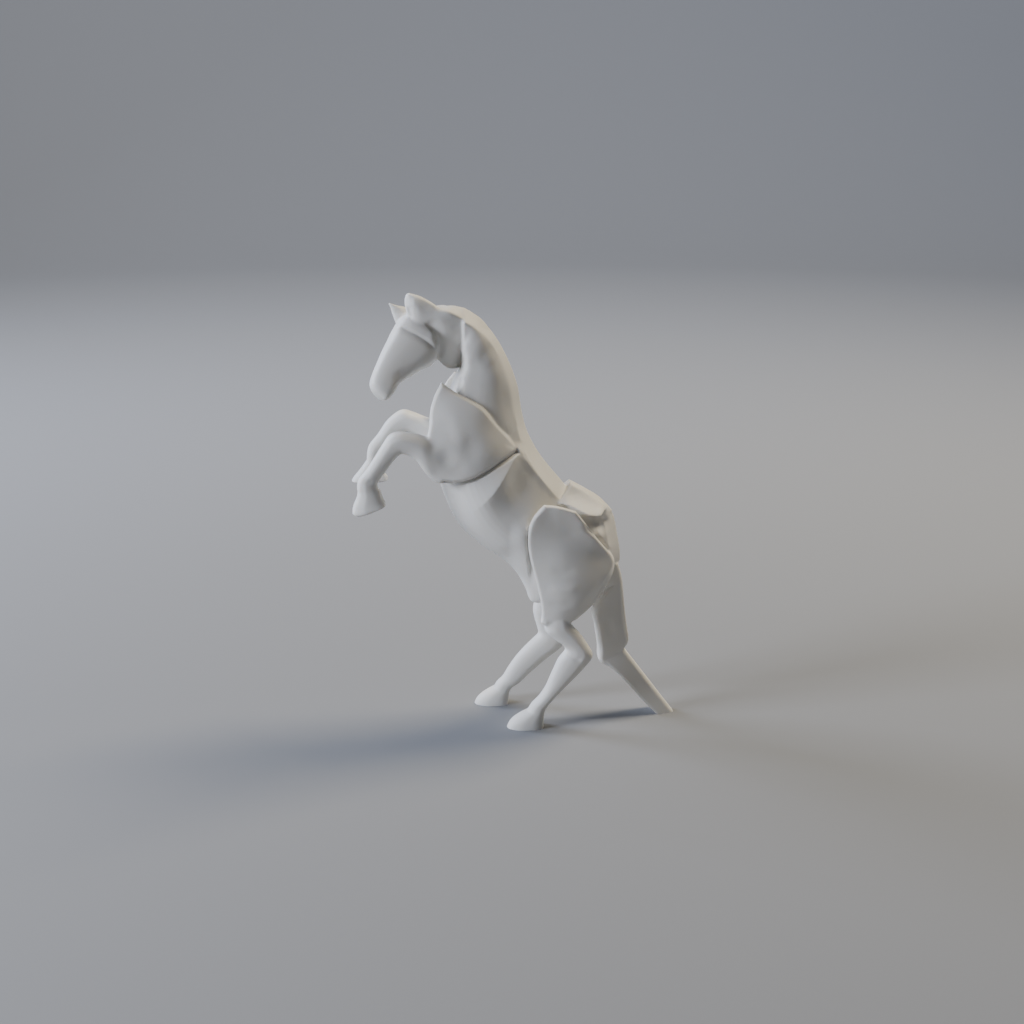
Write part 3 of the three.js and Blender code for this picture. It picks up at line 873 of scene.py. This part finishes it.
nylon = bpy.data.materials.new("sintered_white_nylon")
nylon.use_nodes = True
nylon.node_tree.nodes.clear()
spot = add_node(nylon, "ShaderNodeTexCoord").outputs["Object"]
grain = add_node(nylon, "ShaderNodeTexNoise", Vector=spot, Scale=1 / (GRAIN * MM), Detail=3.0)
cloud = add_node(nylon, "ShaderNodeTexNoise", Vector=spot, Scale=1 / (CLOUD * MM), Detail=2.0)
tint = add_node(nylon, "ShaderNodeValToRGB", Fac=cloud.outputs["Fac"])
tint.color_ramp.elements[0].color = linear("#E9E7E2")
tint.color_ramp.elements[1].color = linear("#E2E0D9")
grain_bump = add_node(
    nylon, "ShaderNodeBump",
    Height=grain.outputs["Fac"], Strength=0.25, Distance=GRAIN_DEPTH * MM,
)
shader = add_node(
    nylon, "ShaderNodeBsdfPrincipled",
    Base_Color=tint.outputs["Color"], Normal=grain_bump.outputs["Normal"],
    Roughness=0.58, IOR=1.5,
    Subsurface_Weight=0.2, Subsurface_Radius=(1.0, 0.8, 0.6), Subsurface_Scale=GLOW_DEPTH * MM,
)
add_node(nylon, "ShaderNodeOutputMaterial", Surface=shader.outputs["BSDF"])
horse.data.materials.clear()
horse.data.materials.append(nylon)


# ---------------------------------------------------------------------------
# Stage: a plain pale floor of matt paper that curves up into a backdrop, four soft lights and
# the camera. Its sizes are in metres.

FLOOR_RADIUS = 1.25
CURVE_RADIUS = 0.5
CURVE_STEPS = 12
BACKDROP_HEIGHT = 1.4
floor_mesh = bpy.data.meshes.new("floor")
floor_skin = bmesh.new()
profile = [Vector((0, 0, 0)), Vector((FLOOR_RADIUS, 0, 0))]
for step in range(1, CURVE_STEPS + 1):
    turn = math.pi / 2 * step / CURVE_STEPS
    rise = CURVE_RADIUS * (1 - math.cos(turn))
    profile.append(Vector((FLOOR_RADIUS + CURVE_RADIUS * math.sin(turn), 0, rise)))
profile.append(Vector((FLOOR_RADIUS + CURVE_RADIUS, 0, BACKDROP_HEIGHT)))
corners = [floor_skin.verts.new(spot) for spot in profile]
edges = [floor_skin.edges.new(pair) for pair in zip(corners, corners[1:])]
bmesh.ops.spin(
    floor_skin, geom=corners + edges, axis=(0, 0, 1), cent=(0, 0, 0), angle=2 * math.pi,
    steps=96, use_merge=True,
)
bmesh.ops.remove_doubles(floor_skin, verts=floor_skin.verts, dist=1e-5)
for face in floor_skin.faces:
    face.smooth = True
floor_skin.to_mesh(floor_mesh)
floor_skin.free()
floor = bpy.data.objects.new("floor", floor_mesh)
bpy.context.scene.collection.objects.link(floor)
paper = bpy.data.materials.new("matt_backdrop_paper")
paper.use_nodes = True
paper_shader = paper.node_tree.nodes["Principled BSDF"]
paper_shader.inputs["Base Color"].default_value = linear("#86888B")
paper_shader.inputs["Roughness"].default_value = 0.9
floor.data.materials.append(paper)

world = bpy.data.worlds.new("studio")
world.use_nodes = True
air = world.node_tree.nodes["Background"]
air.inputs["Color"].default_value = linear("#F4F1EE")
air.inputs["Strength"].default_value = 0.05
bpy.context.scene.world = world


def soft_light(name, place, aim, size, power, hex_colour):
    """A square soft box at a place, facing a point."""
    lamp = bpy.data.lights.new(name, "AREA")
    lamp.shape = "SQUARE"
    lamp.size = size
    lamp.energy = power
    lamp.color = linear(hex_colour)[:3]
    light = bpy.data.objects.new(name, lamp)
    light.location = place
    light.rotation_euler = (Vector(aim) - Vector(place)).to_track_quat("-Z", "Y").to_euler()
    bpy.context.scene.collection.objects.link(light)


body_middle = (0, 0, (low.z + high.z) / 2)
soft_light("left_back", (-0.75, 0.5, 0.5), body_middle, 0.4, 8.5, "#DCE6FF")
soft_light("right_back", (0.48, 0.3, 0.8), body_middle, 0.4, 9.5, "#FFF1D6")
soft_light("left_key", (-0.9, -0.34, 0.44), body_middle, 0.35, 11.2, "#EAF0FF")
soft_light("backdrop_wash", (0, 0.7, 1), (0, 1.75, 0.3), 0.9, 13, "#F4F6FF")

CAMERA_AZIMUTH = math.radians(-4.5)
CAMERA_ELEVATION = math.radians(14)
CAMERA_DISTANCE = 0.75
CAMERA_AIM = Vector((-1.16 * MM, 0, 74.97 * MM))
lens = bpy.data.cameras.new("camera")
lens.lens = 75
lens.sensor_width = 36
lens.clip_start = 0.01
camera = bpy.data.objects.new("camera", lens)
back = Vector((
    math.sin(CAMERA_AZIMUTH) * math.cos(CAMERA_ELEVATION),
    -math.cos(CAMERA_AZIMUTH) * math.cos(CAMERA_ELEVATION),
    math.sin(CAMERA_ELEVATION),
))
camera.location = CAMERA_AIM + back * CAMERA_DISTANCE
camera.rotation_euler = (-back).to_track_quat("-Z", "Y").to_euler()
bpy.context.scene.collection.objects.link(camera)
bpy.context.scene.camera = camera
